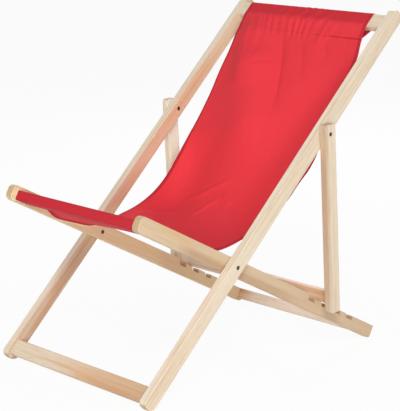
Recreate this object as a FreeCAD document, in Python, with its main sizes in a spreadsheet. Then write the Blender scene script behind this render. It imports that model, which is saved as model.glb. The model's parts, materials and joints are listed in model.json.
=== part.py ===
import FreeCAD, Part
import os
import Sketcher

# Driving sizes, in millimetres and degrees: name, value, what it measures.
SIZES = [
    ("back_width", "560", "back frame from outer face to outer face"),
    ("back_rail_thick", "23", "back rail across the chair"),
    ("back_rail_wide", "36", "back rail, front edge to rear edge"),
    ("back_rail_below", "402", "seat pivot down to the foot end"),
    ("back_rail_above", "793", "seat pivot up to the top end"),
    ("prop_pivot_up", "407", "seat pivot up to the prop pivot"),
    ("rail_end_round", "14", "rounded corners at the rail ends"),
    ("edge_round", "2", "eased long edges of rails and legs"),
    ("foot_flat", "1.5", "depth planed off the feet to stand flat"),
    ("side_gap", "2", "space between neighbouring frames"),
    ("seat_rail_thick", "23", "seat rail across the chair"),
    ("seat_rail_wide", "40", "seat rail, top edge to lower edge"),
    ("seat_rail_front", "316", "seat pivot forward to the front end"),
    ("seat_rail_rear", "565", "seat pivot back to the rear end"),
    ("seat_tail_round", "6", "lower rear corner of the seat rail"),
    ("tooth_drop", "6", "toothed tail below the rail's top edge"),
    ("notch_start", "291", "seat pivot back to the first notch"),
    ("notch_pitch", "52", "notch to notch"),
    ("notch_mouth", "25", "notch width along the rail"),
    ("notch_depth", "10", "notch below the tooth tops"),
    ("notch_slant", "28.4", "notch walls from square, degrees"),
    ("notch_count", "4", "notches in each seat rail"),
    ("prop_notch_count", "2", "notches up to the one the prop rests in"),
    ("prop_seat_depth", "1.4", "crossbar edge below the tooth tops"),
    ("notch_gap", "0.6", "crossbar to the notch's front wall"),
    ("prop_leg_thick", "21", "prop leg across the chair"),
    ("prop_leg_wide", "35", "prop leg, front edge to rear edge"),
    ("prop_leg_above", "24", "prop pivot up to the leg's top end"),
    ("prop_leg_tail", "17", "prop crossbar down to the leg's lower end"),
    ("prop_leg_round", "9", "rounded corners of the prop leg"),
    ("prop_bar_reach", "438", "prop pivot down to the crossbar's lower edge"),
    ("prop_bar_wide", "32", "prop crossbar height"),
    ("prop_bar_thick", "17.5", "prop crossbar, front to rear"),
    ("foot_bar_wide", "41", "foot crossbar along the rail"),
    ("foot_bar_thick", "18", "foot crossbar across the rail"),
    ("foot_bar_inset", "9", "foot end up to the foot crossbar"),
    ("foot_bar_recess", "6", "foot crossbar behind the rail's front edge"),
    ("top_bar_wide", "42", "top crossbar along the rail"),
    ("top_bar_thick", "20", "top crossbar across the rail"),
    ("top_bar_inset", "21", "top end down to the top crossbar"),
    ("top_bar_recess", "3", "top crossbar behind the rail's front edge"),
    ("front_bar_wide", "38", "front crossbar along the rail"),
    ("front_bar_thick", "22", "front crossbar across the rail"),
    ("front_bar_inset", "13", "seat rail's front end back to the crossbar"),
    ("front_bar_recess", "12", "front crossbar below the rail's top edge"),
    ("rear_bar_wide", "28", "rear stretcher across the rail"),
    ("rear_bar_thick", "18", "rear stretcher along the rail"),
    ("rear_bar_inset", "2", "rear end forward to the stretcher"),
    ("rear_bar_lift", "6", "stretcher above the rail's lower edge"),
    ("board_round", "2.5", "eased long edges of the crossbars"),
    ("dowel_diameter", "8", "wooden dowel"),
    ("dowel_length", "32", "wooden dowel, half in each piece"),
    ("dowel_fit", "0.03", "dowel to hole, on the radius"),
    ("dowel_end_gap", "0.5", "hole deeper than the dowel's end"),
    ("pivot_diameter", "6", "pivot bolt shank"),
    ("pivot_fit", "0.05", "shank to hole, on the radius"),
    ("pivot_play", "0.3", "end play of a turning pivot"),
    ("head_diameter", "10", "bolt head"),
    ("head_height", "4", "bolt head"),
    ("head_recess", "5.2", "counterbore under the bolt head"),
    ("socket_across", "4", "hexagon socket across its flats"),
    ("socket_depth", "2.4", "hexagon socket"),
    ("nut_diameter", "10", "sleeve nut"),
    ("nut_height", "4", "sleeve nut"),
    ("nut_recess", "5.2", "counterbore round the sleeve nut"),
    ("nut_show", "0.8", "bolt end short of the nut's face"),
    ("counterbore_fit", "0.5", "head or nut to counterbore, on the radius"),
    ("washer_diameter", "18", "washer between two frames"),
    ("washer_play", "0.3", "washer to each frame"),
    ("sling_side_gap", "10", "sling's edge to the seat rail"),
    ("sling_thick", "1.4", "sling cloth"),
    ("sling_gap", "0.3", "cloth to the crossbar inside its hem"),
    ("sling_bend_back", "124", "seat pivot back to where the sling bends"),
    ("sling_bend_drop", "27", "seat pivot down to where the sling bends"),
    ("sling_bend_round", "260", "rounding of the sling's bend"),
]

# Sizes that follow from the driving ones. The seat pivot is the origin of the back and seat frames: along is
# up the back rail or rearward down the seat rail, across is square to it.
LAYOUT = [
    ("back_outer", "=Sizes.back_width / 2"),
    ("back_inner", "=back_outer - Sizes.back_rail_thick"),
    ("seat_outer", "=back_inner - Sizes.side_gap"),
    ("seat_inner", "=seat_outer - Sizes.seat_rail_thick"),
    ("prop_inner", "=back_outer + Sizes.side_gap"),
    ("prop_outer", "=prop_inner + Sizes.prop_leg_thick"),
    ("back_half", "=Sizes.back_rail_wide / 2"),
    ("seat_half", "=Sizes.seat_rail_wide / 2"),
    ("prop_half", "=Sizes.prop_leg_wide / 2"),
    ("tooth_top", "=seat_half - Sizes.tooth_drop"),
    ("notch_lean", "=tan(Sizes.notch_slant)"),
    # The crossbar's lower front edge, in the seat frame.
    ("edge_across", "=tooth_top - Sizes.prop_seat_depth"),
    ("edge_notch", "=Sizes.notch_start + (Sizes.prop_notch_count - 1) * Sizes.notch_pitch"),
    ("edge_along", "=edge_notch + Sizes.prop_seat_depth * notch_lean + Sizes.notch_gap"),
    ("edge_reach", "=hypot(edge_along; edge_across)"),
    # The triangle of seat pivot, prop pivot and crossbar edge sets how far the frames open.
    ("pivot_square", "=Sizes.prop_pivot_up ^ 2"),
    ("edge_square", "=edge_reach ^ 2"),
    ("reach_square", "=Sizes.prop_bar_reach ^ 2"),
    ("seat_product", "=2 * Sizes.prop_pivot_up * edge_reach"),
    ("seat_corner", "=acos((pivot_square + edge_square - reach_square) / seat_product)"),
    ("open_angle", "=seat_corner + atan2(edge_across; edge_along)"),
    ("prop_product", "=2 * Sizes.prop_pivot_up * Sizes.prop_bar_reach"),
    ("prop_angle", "=acos((pivot_square + reach_square - edge_square) / prop_product)"),
    # Both feet stand on the floor: that sets the tilt of the back rails.
    ("foot_along", "=Sizes.back_rail_below - Sizes.rail_end_round"),
    ("foot_across", "=back_half - Sizes.rail_end_round"),
    ("tail_along", "=Sizes.seat_rail_rear - Sizes.seat_tail_round"),
    ("tail_across", "=seat_half - Sizes.seat_tail_round"),
    ("stance_run", "=foot_along + tail_along * cos(open_angle) - tail_across * sin(open_angle)"),
    ("stance_rise", "=tail_along * sin(open_angle) + tail_across * cos(open_angle) - foot_across"),
    ("stance", "=hypot(stance_run; stance_rise)"),
    ("foot_slope", "=asin((Sizes.seat_tail_round - Sizes.rail_end_round) / stance)"),
    ("back_tilt", "=atan2(stance_rise; stance_run) + foot_slope"),
    ("seat_tilt", "=open_angle - back_tilt"),
    ("prop_tilt", "=back_tilt + prop_angle + 180 deg"),
    ("foot_drop", "=foot_along * sin(back_tilt) + foot_across * cos(back_tilt)"),
    ("pivot_z", "=foot_drop + Sizes.rail_end_round - Sizes.foot_flat"),
    # The origin lies on the floor, midway between the foremost and rearmost points.
    ("top_along", "=Sizes.back_rail_above - Sizes.rail_end_round"),
    ("top_reach", "=top_along * cos(back_tilt) + foot_across * sin(back_tilt) + Sizes.rail_end_round"),
    ("foot_reach", "=foot_along * cos(back_tilt) + foot_across * sin(back_tilt) + Sizes.rail_end_round"),
    ("nose_along", "=Sizes.seat_rail_front - Sizes.rail_end_round"),
    ("nose_across", "=seat_half - Sizes.rail_end_round"),
    ("nose_reach", "=nose_along * cos(seat_tilt) + nose_across * sin(seat_tilt) + Sizes.rail_end_round"),
    ("pivot_y", "=(max(foot_reach; nose_reach) - top_reach) / 2"),
    ("prop_pivot_y", "=pivot_y + Sizes.prop_pivot_up * cos(back_tilt)"),
    ("prop_pivot_z", "=pivot_z + Sizes.prop_pivot_up * sin(back_tilt)"),
    # Crossbars, each in its frame.
    ("foot_bar_low", "=Sizes.foot_bar_inset - Sizes.back_rail_below"),
    ("foot_bar_high", "=foot_bar_low + Sizes.foot_bar_wide"),
    ("foot_bar_front", "=back_half - Sizes.foot_bar_recess"),
    ("foot_bar_back", "=foot_bar_front - Sizes.foot_bar_thick"),
    ("top_bar_high", "=Sizes.back_rail_above - Sizes.top_bar_inset"),
    ("top_bar_low", "=top_bar_high - Sizes.top_bar_wide"),
    ("top_bar_front", "=back_half - Sizes.top_bar_recess"),
    ("top_bar_back", "=top_bar_front - Sizes.top_bar_thick"),
    ("front_bar_low", "=Sizes.front_bar_inset - Sizes.seat_rail_front"),
    ("front_bar_high", "=front_bar_low + Sizes.front_bar_wide"),
    ("front_bar_front", "=seat_half - Sizes.front_bar_recess"),
    ("front_bar_back", "=front_bar_front - Sizes.front_bar_thick"),
    ("rear_bar_high", "=Sizes.seat_rail_rear - Sizes.rear_bar_inset"),
    ("rear_bar_low", "=rear_bar_high - Sizes.rear_bar_thick"),
    ("rear_bar_back", "=Sizes.rear_bar_lift - seat_half"),
    ("rear_bar_front", "=rear_bar_back + Sizes.rear_bar_wide"),
    ("prop_bar_high", "=Sizes.prop_bar_reach"),
    ("prop_bar_low", "=prop_bar_high - Sizes.prop_bar_wide"),
    ("prop_bar_back", "=0"),
    ("prop_bar_front", "=Sizes.prop_bar_thick"),
    ("prop_leg_below", "=Sizes.prop_bar_reach + Sizes.prop_leg_tail"),
    # The sling leaves the top and front crossbars and bends between them. Its points are the cloth's upper
    # face, seen from the side: y rearward and z up from the seat pivot.
    ("sling_wide", "=2 * (seat_inner - Sizes.sling_side_gap)"),
    ("hem_wrap", "=Sizes.sling_gap + Sizes.sling_thick"),
    ("hem_end", "=hem_wrap + Sizes.sling_gap"),
    ("hang_along", "=top_bar_low - hem_end"),
    ("hang_across", "=top_bar_front - Sizes.board_round"),
    ("hang_y", "=hang_along * cos(back_tilt) - hang_across * sin(back_tilt)"),
    ("hang_z", "=hang_along * sin(back_tilt) + hang_across * cos(back_tilt)"),
    ("lap_along", "=front_bar_high + hem_end"),
    ("lap_across", "=front_bar_front - Sizes.board_round"),
    ("lap_y", "=lap_along * cos(seat_tilt) + lap_across * sin(seat_tilt)"),
    ("lap_z", "=lap_across * cos(seat_tilt) - lap_along * sin(seat_tilt)"),
    ("bend_y", "=Sizes.sling_bend_back"),
    ("bend_z", "=-Sizes.sling_bend_drop"),
    ("lap_slope", "=atan2(bend_z - lap_z; bend_y - lap_y)"),
    ("hang_slope", "=atan2(hang_z - bend_z; hang_y - bend_y)"),
    ("bend_slope", "=(lap_slope + hang_slope) / 2"),
    ("bend_thick", "=Sizes.sling_thick / cos((hang_slope - lap_slope) / 2)"),
    ("under_hang_y", "=hang_y + Sizes.sling_thick * sin(hang_slope)"),
    ("under_hang_z", "=hang_z - Sizes.sling_thick * cos(hang_slope)"),
    ("under_lap_y", "=lap_y + Sizes.sling_thick * sin(lap_slope)"),
    ("under_lap_z", "=lap_z - Sizes.sling_thick * cos(lap_slope)"),
    ("under_bend_y", "=bend_y + bend_thick * sin(bend_slope)"),
    ("under_bend_z", "=bend_z - bend_thick * cos(bend_slope)"),
]

RIGHT = 1
LEFT = -1
BOTH = 0
SIDES = [("left", LEFT), ("right", RIGHT)]

SEAT_PIVOT = "Layout.pivot_y; Layout.pivot_z"
PROP_PIVOT = "Layout.prop_pivot_y; Layout.prop_pivot_z"
TILTED = "placement(vector(0; {}); rotation(vector(1; 0; 0); {}))"
BACK_FRAME = TILTED.format(SEAT_PIVOT, "Layout.back_tilt")
SEAT_FRAME = TILTED.format(SEAT_PIVOT, "-Layout.seat_tilt")
SLING_FRAME = TILTED.format(SEAT_PIVOT, "0")
PROP_FRAME = TILTED.format(PROP_PIVOT, "Layout.prop_tilt")
PIVOT_HOLE = "Sizes.pivot_diameter / 2 + Sizes.pivot_fit"
HEAD_HOLE = "Sizes.head_diameter / 2 + Sizes.counterbore_fit"
NUT_HOLE = "Sizes.nut_diameter / 2 + Sizes.counterbore_fit"
DOWEL_HOLE = "Sizes.dowel_diameter / 2 + Sizes.dowel_fit"
DOWEL_DEPTH = "Sizes.dowel_length / 2 + Sizes.dowel_end_gap"

os.makedirs("parts", exist_ok=True)
doc = FreeCAD.newDocument("folding_lounge_chair")
sizes = doc.addObject("Spreadsheet::Sheet", "Sizes")
layout = doc.addObject("Spreadsheet::Sheet", "Layout")
nodes = []


def fill_sheets():
    """Puts the driving sizes and what follows from them in two sheets."""
    for row, (alias, value, words) in enumerate(SIZES, start=1):
        sizes.set(f"A{row}", words)
        sizes.set(f"B{row}", value)
        sizes.setAlias(f"B{row}", alias)
    doc.recompute()
    for row, (alias, formula) in enumerate(LAYOUT, start=1):
        layout.set(f"A{row}", alias.replace("_", " "))
        layout.set(f"B{row}", formula)
        layout.setAlias(f"B{row}", alias)
    doc.recompute()


def number(text):
    return float(sizes.evalExpression(text))


def finish(item, label):
    """Keeps an object as the node called label."""
    item.Label = label
    nodes.append(item)


def new_body(name, frame):
    body = doc.addObject("PartDesign::Body", name)
    body.setExpression("Placement", frame)
    return body


def side_sketch(body, level):
    """A sketch seen from the side, level away from the middle: x is along and y is across."""
    plane = next(item for item in body.Origin.OriginFeatures if item.Role == "YZ_Plane")
    sketch = body.newObject("Sketcher::SketchObject", "side")
    sketch.AttachmentSupport = [(plane, "")]
    sketch.MapMode = "FlatFace"
    sketch.setExpression("AttachmentOffset.Base.z", level)
    return sketch


def pin_point(sketch, line, end, place):
    """Fixes one end of a line, or a circle's centre, at a place given as two expressions."""
    for kind, text in zip(("DistanceX", "DistanceY"), place):
        index = sketch.addConstraint(Sketcher.Constraint(kind, -1, 1, line, end, number(text)))
        sketch.setExpression(f"Constraints[{index}]", text)


def draw_polygon(sketch, corners):
    points = [FreeCAD.Vector(number(along), number(across), 0) for along, across in corners]
    following = points[1:] + points[:1]
    lines = [sketch.addGeometry(Part.LineSegment(*ends), False) for ends in zip(points, following)]
    for line, after in zip(lines, lines[1:] + lines[:1]):
        sketch.addConstraint(Sketcher.Constraint("Coincident", line, 2, after, 1))
    for line, corner in zip(lines, corners):
        pin_point(sketch, line, 1, corner)


def draw_circle(sketch, centre, radius):
    middle = FreeCAD.Vector(number(centre[0]), number(centre[1]), 0)
    circle = sketch.addGeometry(Part.Circle(middle, FreeCAD.Vector(0, 0, 1), number(radius)), False)
    pin_point(sketch, circle, 3, centre)
    index = sketch.addConstraint(Sketcher.Constraint("Radius", circle, number(radius)))
    sketch.setExpression(f"Constraints[{index}]", radius)


def pad(body, corners, level, length, side):
    """Pads a polygon toward one side of the chair, or evenly to both."""
    sketch = side_sketch(body, level)
    draw_polygon(sketch, corners)
    solid = body.newObject("PartDesign::Pad", "pad")
    solid.Profile = sketch
    solid.setExpression("Length", length)
    solid.SideType = "Symmetric" if side == BOTH else "One side"
    solid.Reversed = side == LEFT
    doc.recompute()


def cut_sketch(body, sketch, depth, side):
    """Cuts a sketch into the body toward one side, or right through."""
    before = body.Shape.Volume
    cut = body.newObject("PartDesign::Pocket", "pocket")
    cut.Profile = sketch
    if side == BOTH:
        cut.Type = "ThroughAll"
        cut.SideType = "Symmetric"
    else:
        cut.setExpression("Length", depth)
        cut.Reversed = side == RIGHT
    doc.recompute()
    if body.Shape.Volume >= before:
        raise RuntimeError(f"nothing was cut from {body.Name}")
    return cut


def drill(body, centres, radius, level, depth, side):
    sketch = side_sketch(body, level)
    for centre in centres:
        draw_circle(sketch, centre, radius)
    cut_sketch(body, sketch, depth, side)


def round_edges(body, names, radius):
    base = body.Tip
    rounding = body.newObject("PartDesign::Fillet", "rounding")
    rounding.Base = (base, names)
    rounding.setExpression("Radius", radius)
    doc.recompute()


def runs_across(edge, corner):
    """Whether an edge runs across the chair through a corner."""
    place = FreeCAD.Vector(0, number(corner[0]), number(corner[1]))
    ends = [FreeCAD.Vector(0, vertex.Y, vertex.Z) for vertex in edge.Vertexes]
    return all(end.isEqual(place, Part.Precision.confusion()) for end in ends)


def cross_edges(body, corners):
    """Names of the edges that run across the chair through the given corners."""
    edges = enumerate(body.Tip.Shape.Edges, start=1)
    return [f"Edge{index}" for index, edge in edges if any(runs_across(edge, corner) for corner in corners)]


def looks_sideways(face):
    if not isinstance(face.Surface, Part.Plane):
        return False
    return face.Surface.Axis.cross(FreeCAD.Vector(1, 0, 0)).Length < Part.Precision.angular()


def side_faces(body):
    """Names of the flat faces that look left or right."""
    faces = enumerate(body.Tip.Shape.Faces, start=1)
    return [f"Face{index}" for index, face in faces if looks_sideways(face)]


def rectangle(low, high, back, front):
    return [(low, back), (high, back), (high, front), (low, front)]


def strip(low, high, half):
    return rectangle(low, high, f"-{half}", half)


def bar_corners(bar):
    return rectangle(*[f"Layout.{bar}_{edge}" for edge in ("low", "high", "back", "front")])


def dowel_places(bar):
    """Two dowels over the crossbar's wider way, with three equal walls beside and between them."""
    along = f"(Layout.{bar}_low + Layout.{bar}_high) / 2"
    across = f"(Layout.{bar}_back + Layout.{bar}_front) / 2"
    wall = f"(Sizes.{bar}_wide - 2 * Sizes.dowel_diameter) / 3"
    shift = f"({wall} + Sizes.dowel_diameter) / 2"
    if bar == "rear_bar":
        return [(along, f"{across} - {shift}"), (along, f"{across} + {shift}")]
    return [(f"{along} - {shift}", across), (f"{along} + {shift}", across)]


def make_crossbar(bar, label, frame, half_length):
    """A board between two rails, with dowel holes in both ends, and its dowels."""
    body = new_body(f"{label}_body", frame)
    pad(body, bar_corners(bar), "0", f"2 * {half_length}", BOTH)
    round_edges(body, cross_edges(body, bar_corners(bar)), "Sizes.board_round")
    for side in (LEFT, RIGHT):
        drill(body, dowel_places(bar), DOWEL_HOLE, f"{side} * {half_length}", DOWEL_DEPTH, -side)
    finish(body, label)
    pins = []
    for side in (LEFT, RIGHT):
        for along, across in dowel_places(bar):
            pin = doc.addObject("Part::Cylinder", f"{label}_pin")
            pin.setExpression("Radius", "Sizes.dowel_diameter / 2")
            pin.setExpression("Height", "Sizes.dowel_length")
            start = f"{side} * {half_length} - Sizes.dowel_length / 2"
            place = f"placement(vector({start}; {along}; {across}); rotation(vector(0; 1; 0); 90))"
            pin.setExpression("Placement", place)
            pins.append(pin)
    group = doc.addObject("Part::Compound", f"{label}_group")
    group.Links = pins
    group.setExpression("Placement", frame)
    finish(group, f"{label}_dowels")


def make_floor():
    """What the feet are planed to: everything under the floor."""
    floor = doc.addObject("Part::Box", "floor")
    floor.setExpression("Length", "2 * Sizes.back_width")
    floor.setExpression("Width", "2 * (Sizes.back_rail_above + Sizes.back_rail_below)")
    floor.setExpression("Height", "Sizes.back_rail_wide")
    floor.setExpression("Placement.Base.x", "-Sizes.back_width")
    floor.setExpression("Placement.Base.y", "-(Sizes.back_rail_above + Sizes.back_rail_below)")
    floor.setExpression("Placement.Base.z", "-Sizes.back_rail_wide")
    return floor


def stand_on_floor(body, floor, label):
    planed = doc.addObject("Part::Cut", f"{label}_planed")
    planed.Base = body
    planed.Tool = floor
    finish(planed, label)


def make_back_rail(word, side, floor):
    label = f"back_rail_{word}"
    body = new_body(f"{label}_body", BACK_FRAME)
    corners = strip("-Sizes.back_rail_below", "Sizes.back_rail_above", "Layout.back_half")
    inner = f"{side} * Layout.back_inner"
    outer = f"{side} * Layout.back_outer"
    pad(body, corners, inner, "Sizes.back_rail_thick", side)
    round_edges(body, cross_edges(body, corners), "Sizes.rail_end_round")
    round_edges(body, side_faces(body), "Sizes.edge_round")
    pivots = [("0", "0"), ("Sizes.prop_pivot_up", "0")]
    drill(body, pivots, PIVOT_HOLE, inner, "Sizes.back_rail_thick", side)
    drill(body, pivots[:1], HEAD_HOLE, outer, "Sizes.head_recess", -side)
    drill(body, pivots[1:], NUT_HOLE, inner, "Sizes.nut_recess", side)
    drill(body, dowel_places("foot_bar") + dowel_places("top_bar"), DOWEL_HOLE, inner, DOWEL_DEPTH, side)
    stand_on_floor(body, floor, label)


def notch_corners():
    """The first notch, drawn up past the rail's top edge."""
    mouth = "Sizes.notch_start + Sizes.notch_mouth"
    low = "(Layout.tooth_top - Sizes.notch_depth)"
    high = "(Layout.seat_half + Sizes.notch_depth)"
    sunk = "Sizes.notch_depth * Layout.notch_lean"
    risen = f"({high} - Layout.tooth_top) * Layout.notch_lean"
    return [
        (f"Sizes.notch_start + {sunk}", low),
        (f"{mouth} + {sunk}", low),
        (f"{mouth} - {risen}", high),
        (f"Sizes.notch_start - {risen}", high),
    ]


def make_seat_rail(word, side, floor):
    label = f"seat_rail_{word}"
    body = new_body(f"{label}_body", SEAT_FRAME)
    nose = [("-Sizes.seat_rail_front", "Layout.seat_half"), ("-Sizes.seat_rail_front", "-Layout.seat_half")]
    tail = ("Sizes.seat_rail_rear", "-Layout.seat_half")
    corners = nose + [
        tail,
        ("Sizes.seat_rail_rear", "Layout.tooth_top"),
        ("Sizes.notch_start + Sizes.notch_mouth", "Layout.tooth_top"),
        ("Sizes.notch_start - Sizes.tooth_drop * Layout.notch_lean", "Layout.seat_half"),
    ]
    inner = f"{side} * Layout.seat_inner"
    pad(body, corners, inner, "Sizes.seat_rail_thick", side)
    round_edges(body, cross_edges(body, nose), "Sizes.rail_end_round")
    round_edges(body, cross_edges(body, [tail]), "Sizes.seat_tail_round")
    round_edges(body, side_faces(body), "Sizes.edge_round")
    sketch = side_sketch(body, inner)
    draw_polygon(sketch, notch_corners())
    notch = cut_sketch(body, sketch, "", BOTH)
    row = body.newObject("PartDesign::LinearPattern", "notches")
    row.Originals = [notch]
    row.Direction = (next(item for item in body.Origin.OriginFeatures if item.Role == "Y_Axis"), [""])
    row.setExpression("Length", "Sizes.notch_pitch * (Sizes.notch_count - 1)")
    row.setExpression("Occurrences", "Sizes.notch_count")
    body.Tip = row
    doc.recompute()
    pivot = [("0", "0")]
    drill(body, pivot, PIVOT_HOLE, inner, "Sizes.seat_rail_thick", side)
    drill(body, pivot, NUT_HOLE, inner, "Sizes.nut_recess", side)
    drill(body, dowel_places("front_bar") + dowel_places("rear_bar"), DOWEL_HOLE, inner, DOWEL_DEPTH, side)
    stand_on_floor(body, floor, label)


def make_prop_leg(word, side):
    label = f"prop_leg_{word}"
    body = new_body(f"{label}_body", PROP_FRAME)
    corners = strip("-Sizes.prop_leg_above", "Layout.prop_leg_below", "Layout.prop_half")
    inner = f"{side} * Layout.prop_inner"
    outer = f"{side} * Layout.prop_outer"
    pad(body, corners, inner, "Sizes.prop_leg_thick", side)
    round_edges(body, cross_edges(body, corners), "Sizes.prop_leg_round")
    round_edges(body, side_faces(body), "Sizes.edge_round")
    pivot = [("0", "0")]
    drill(body, pivot, PIVOT_HOLE, inner, "Sizes.prop_leg_thick", side)
    drill(body, pivot, HEAD_HOLE, outer, "Sizes.head_recess", -side)
    drill(body, dowel_places("prop_bar"), DOWEL_HOLE, inner, DOWEL_DEPTH, side)
    finish(body, label)


def cylinder(name, radius, height, level):
    item = doc.addObject("Part::Cylinder", name)
    item.setExpression("Radius", radius)
    item.setExpression("Height", height)
    item.setExpression("Placement.Base.z", level)
    return item


def join(kind, name, base, tool):
    item = doc.addObject(kind, name)
    item.Base = base
    item.Tool = tool
    return item


def set_across(item, side, level, pivot):
    """Turns a piece made along z to look outward on one side of the chair, at a pivot."""
    turn = f"rotation(vector(0; 1; 0); {side} * 90)"
    item.setExpression("Placement", f"placement(vector({side} * ({level}); {pivot}); {turn})")


def make_pivot(label, side, pivot, head_level, gap_level, nut_level):
    """A bolt with its head outside, a sleeve nut inside and a washer in the gap between the frames."""
    length = f"({head_level}) - ({nut_level}) + Sizes.nut_height - Sizes.nut_show"
    head = cylinder(f"{label}_head", "Sizes.head_diameter / 2", "Sizes.head_height", "0")
    shank = cylinder(f"{label}_shank", "Sizes.pivot_diameter / 2", length, f"-({length})")
    socket = doc.addObject("Part::Prism", f"{label}_socket")
    socket.Polygon = 6
    socket.setExpression("Circumradius", "Sizes.socket_across / 2 / cos(30)")
    socket.setExpression("Height", "Sizes.socket_depth")
    socket.setExpression("Placement.Base.z", "Sizes.head_height - Sizes.socket_depth")
    blank = join("Part::Fuse", f"{label}_blank", head, shank)
    bolt = join("Part::Cut", f"{label}_bolt_solid", blank, socket)
    set_across(bolt, side, head_level, pivot)
    finish(bolt, label.replace("pivot", "pivot_bolt"))

    round_nut = cylinder(f"{label}_round", "Sizes.nut_diameter / 2", "Sizes.nut_height", "-Sizes.nut_height")
    nut_bore = cylinder(f"{label}_nut_bore", PIVOT_HOLE, "Sizes.nut_height", "-Sizes.nut_height")
    nut = join("Part::Cut", f"{label}_nut_solid", round_nut, nut_bore)
    set_across(nut, side, nut_level, pivot)
    finish(nut, label.replace("pivot", "pivot_nut"))

    thick = "Sizes.side_gap - 2 * Sizes.washer_play"
    disc = cylinder(f"{label}_disc", "Sizes.washer_diameter / 2", thick, f"-({thick}) / 2")
    washer_bore = cylinder(f"{label}_washer_bore", PIVOT_HOLE, thick, f"-({thick}) / 2")
    washer = join("Part::Cut", f"{label}_washer_solid", disc, washer_bore)
    set_across(washer, side, gap_level, pivot)
    finish(washer, label.replace("pivot", "pivot_washer"))


def make_pivots(word, side):
    make_pivot(
        f"seat_pivot_{word}",
        side,
        SEAT_PIVOT,
        "Layout.back_outer - Sizes.head_recess",
        "(Layout.back_inner + Layout.seat_outer) / 2",
        "Layout.seat_inner + Sizes.nut_recess - Sizes.pivot_play",
    )
    make_pivot(
        f"prop_pivot_{word}",
        side,
        PROP_PIVOT,
        "Layout.prop_outer - Sizes.head_recess + Sizes.pivot_play",
        "(Layout.back_outer + Layout.prop_inner) / 2",
        "Layout.back_inner + Sizes.nut_recess",
    )


def grown(bar, margin):
    return rectangle(
        f"Layout.{bar}_low - {margin}",
        f"Layout.{bar}_high + {margin}",
        f"Layout.{bar}_back - {margin}",
        f"Layout.{bar}_front + {margin}",
    )


def make_hem(bar, label, frame):
    """The cloth tunnel round a crossbar."""
    body = new_body(f"{label}_body", frame)
    outside = grown(bar, "Layout.hem_wrap")
    inside = grown(bar, "Sizes.sling_gap")
    pad(body, outside, "0", "Layout.sling_wide", BOTH)
    round_edges(body, cross_edges(body, outside), "Sizes.board_round + Layout.hem_wrap")
    sketch = side_sketch(body, "0")
    draw_polygon(sketch, inside)
    cut_sketch(body, sketch, "", BOTH)
    round_edges(body, cross_edges(body, inside), "Sizes.board_round + Sizes.sling_gap")
    finish(body, label)


def make_panel():
    """The cloth between the hems: flat in front and behind, rounded where the sitter's weight goes."""
    body = new_body("sling_panel_body", SLING_FRAME)
    bend = ("Layout.bend_y", "Layout.bend_z")
    under_bend = ("Layout.under_bend_y", "Layout.under_bend_z")
    corners = [
        ("Layout.lap_y", "Layout.lap_z"),
        bend,
        ("Layout.hang_y", "Layout.hang_z"),
        ("Layout.under_hang_y", "Layout.under_hang_z"),
        under_bend,
        ("Layout.under_lap_y", "Layout.under_lap_z"),
    ]
    pad(body, corners, "0", "Layout.sling_wide", BOTH)
    round_edges(body, cross_edges(body, [bend]), "Sizes.sling_bend_round")
    round_edges(body, cross_edges(body, [under_bend]), "Sizes.sling_bend_round + Sizes.sling_thick")
    finish(body, "sling_panel")


def write_nodes():
    """Checks every object, then writes each node's solids."""
    doc.recompute()
    for item in doc.Objects:
        if "Invalid" in item.State or "Error" in item.State:
            raise RuntimeError(f"{item.Name} could not be made")
    for item in nodes:
        if item.Shape.isNull() or not item.Shape.isValid() or not item.Shape.Solids:
            raise RuntimeError(f"{item.Label} is not a sound solid")
        item.Shape.exportStep(f"parts/{item.Label}.step")


fill_sheets()
ground = make_floor()
for side_word, side_sign in SIDES:
    make_back_rail(side_word, side_sign, ground)
    make_seat_rail(side_word, side_sign, ground)
    make_prop_leg(side_word, side_sign)
    make_pivots(side_word, side_sign)
make_crossbar("foot_bar", "foot_crossbar", BACK_FRAME, "Layout.back_inner")
make_crossbar("top_bar", "top_crossbar", BACK_FRAME, "Layout.back_inner")
make_crossbar("front_bar", "front_crossbar", SEAT_FRAME, "Layout.seat_inner")
make_crossbar("rear_bar", "rear_stretcher", SEAT_FRAME, "Layout.seat_inner")
make_crossbar("prop_bar", "prop_crossbar", PROP_FRAME, "Layout.prop_inner")
make_hem("top_bar", "sling_top_hem", BACK_FRAME)
make_hem("front_bar", "sling_front_hem", SEAT_FRAME)
make_panel()
write_nodes()
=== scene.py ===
"""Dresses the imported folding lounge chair: sanded pine frame, steel pivot bolts and a red canvas sling."""

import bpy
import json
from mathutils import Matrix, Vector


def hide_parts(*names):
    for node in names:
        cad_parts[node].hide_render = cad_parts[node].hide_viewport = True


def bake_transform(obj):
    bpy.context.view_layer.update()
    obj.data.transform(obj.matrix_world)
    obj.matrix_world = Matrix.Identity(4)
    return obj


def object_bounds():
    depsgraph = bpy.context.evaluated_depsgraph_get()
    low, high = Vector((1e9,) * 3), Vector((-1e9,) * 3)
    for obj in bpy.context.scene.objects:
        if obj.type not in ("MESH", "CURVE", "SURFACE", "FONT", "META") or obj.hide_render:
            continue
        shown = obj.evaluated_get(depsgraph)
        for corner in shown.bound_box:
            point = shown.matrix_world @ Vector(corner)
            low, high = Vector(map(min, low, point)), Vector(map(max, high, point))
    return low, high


bl_info = {
    "name": "Folding Lounge Chair",
    "version": (1, 0, 0),
    "blender": (4, 5, 0),
    "location": "View3D > Sidebar > Lounge Chair",
    "description": "Dresses the packed folding lounge chair and sets its studio",
    "category": "Object",
}

import json
import math

import bmesh
import bpy
import numpy as np
from bpy.props import FloatProperty, FloatVectorProperty, PointerProperty
from mathutils import Matrix, Vector

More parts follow.
